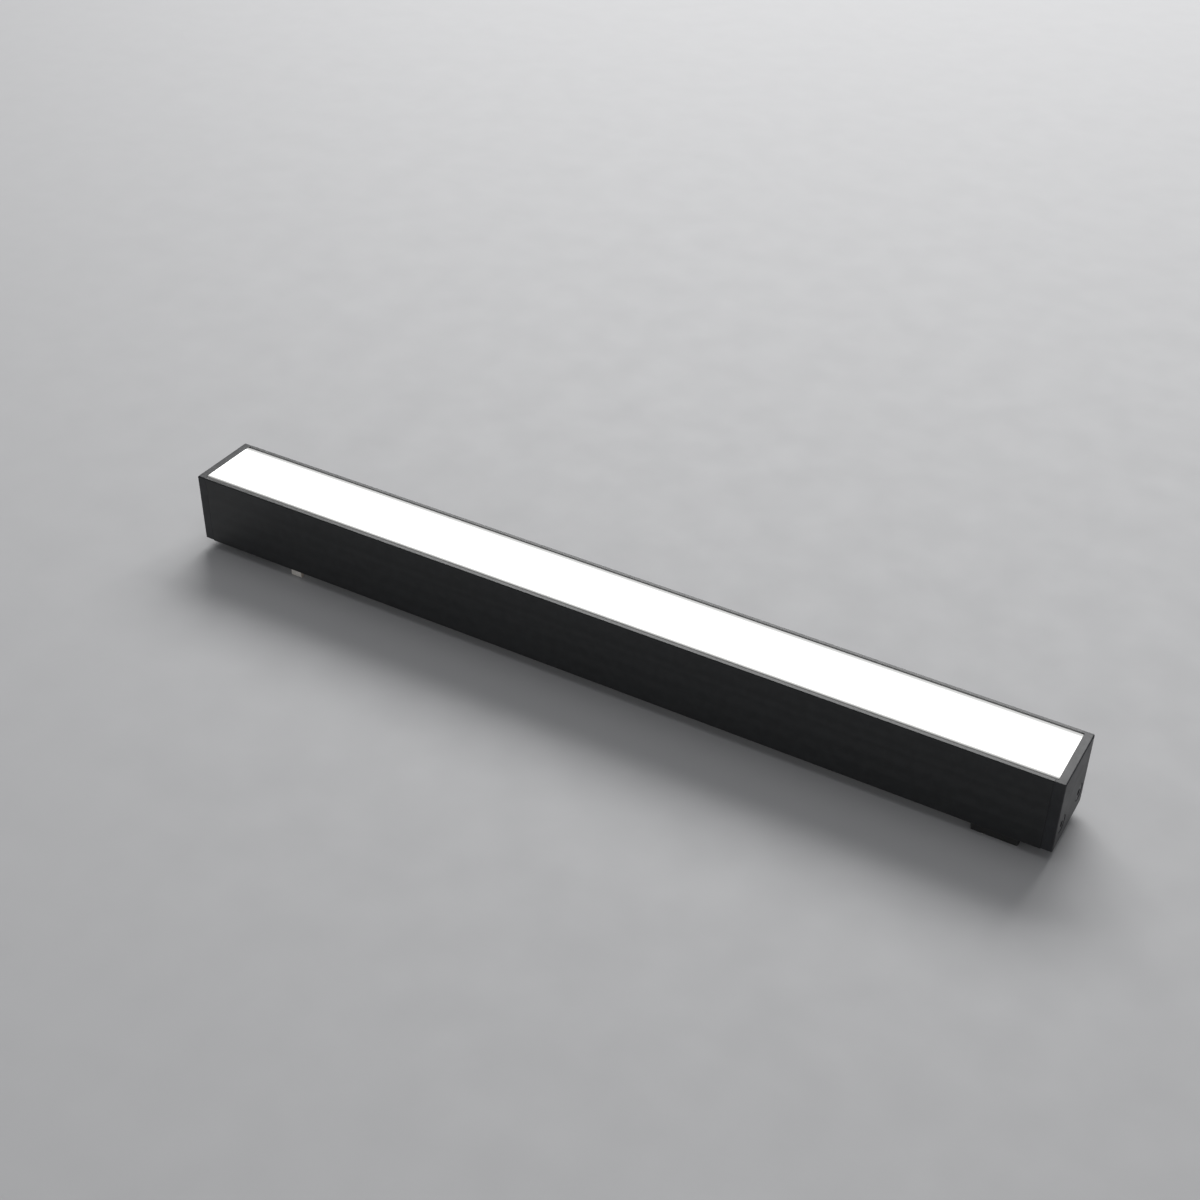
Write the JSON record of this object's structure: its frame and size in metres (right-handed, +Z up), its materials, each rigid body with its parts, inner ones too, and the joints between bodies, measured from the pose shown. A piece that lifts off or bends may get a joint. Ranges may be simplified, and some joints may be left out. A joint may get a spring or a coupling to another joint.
{
  "type": "linear light bar",
  "caption": "Slim black linear light bar with an opal diffuser, end caps, magnets, sprung contacts and sliding locks on its back.",
  "frame": {"origin": "middle of the footprint, on the plane that the magnets rest on", "axes": "+X along the bar away from the contact end, +Y to the rear long side, +Z up through the diffuser"},
  "size_m": [0.3, 0.025, 0.0282],
  "materials": {
    "housing_black": "fine matte black anodised extrusion, satin sheen",
    "cap_black": "smooth moulded black plastic, light grain",
    "opal": "milky white translucent diffuser, softly lit, satin",
    "cover_black": "matte black moulded strip, fine grain",
    "contact_nickel": "nickel-plated brass, satin, warm at the edges",
    "terminal_brass": "plain rolled brass",
    "spring_steel": "bright spring wire",
    "screw_black": "black oxide steel",
    "magnet_nickel": "nickel-plated sintered magnet, mirror-like with fine scuffs",
    "led_board_white": "white solder mask on an aluminium core",
    "board_green": "green solder mask on glass-fibre board",
    "capacitor_sleeve": "dark blue shrink sleeve over an aluminium can",
    "ferrite": "sintered ferrite, matte",
    "chip_black": "moulded epoxy",
    "connector_white": "natural nylon",
    "lead_red": "red wire insulation",
    "lead_black": "black wire insulation"
  },
  "bodies": {
    "housing": {"housing_profile": "housing_black", "diffuser": "opal", "back_cover_left": "cover_black", "back_cover_main": "cover_black", "contact_block": "cover_black", "magnet_holder_left": "cover_black", "magnet_holder_right": "cover_black", "end_cap_left": "cap_black", "end_cap_right": "cap_black", "magnet_left": "magnet_nickel", "magnet_right": "magnet_nickel", "cap_screw_left_front": "screw_black", "cap_screw_left_rear": "screw_black", "cap_screw_right_front": "screw_black", "cap_screw_right_rear": "screw_black", "holder_screw_left_left": "screw_black", "holder_screw_left_right": "screw_black", "holder_screw_right_left": "screw_black", "holder_screw_right_right": "screw_black", "contact_spring_front": "spring_steel", "contact_spring_rear": "spring_steel", "contact_terminal_front": "terminal_brass", "contact_terminal_rear": "terminal_brass", "led_board": "led_board_white", "driver_board": "board_green", "input_connector": "connector_white", "output_connector": "connector_white", "input_capacitor": "capacitor_sleeve", "output_capacitor": "capacitor_sleeve", "inductor": "ferrite", "driver_chip": "chip_black", "rectifier_diode": "chip_black", "input_lead_rear": "lead_red", "led_lead_rear": "lead_red", "input_lead_front": "lead_black", "led_lead_front": "lead_black"},
    "front_contact": {"contact_front": "contact_nickel"},
    "rear_contact": {"contact_rear": "contact_nickel"},
    "front_lock": {"lock_slider_front": "cover_black"},
    "rear_lock": {"lock_slider_rear": "cover_black"}
  },
  "joints": [
    {"name": "front_contact_press", "type": "slide", "parent": "housing", "child": "front_contact", "axis": [0, 0, 1], "range_m": [0, 0.0012], "stiffness_N_per_m": 280, "springref_m": -0.0015, "deforming": ["contact_spring_front"]},
    {"name": "rear_contact_press", "type": "slide", "parent": "housing", "child": "rear_contact", "axis": [0, 0, 1], "range_m": [0, 0.0012], "stiffness_N_per_m": 280, "springref_m": -0.0015, "deforming": ["contact_spring_rear"]},
    {"name": "front_lock_slide", "type": "slide", "parent": "housing", "child": "front_lock", "axis": [0, -1, 0], "range_m": [0, 0.0022]},
    {"name": "rear_lock_slide", "type": "slide", "parent": "housing", "child": "rear_lock", "axis": [0, 1, 0], "range_m": [0, 0.0022]}
  ]
}
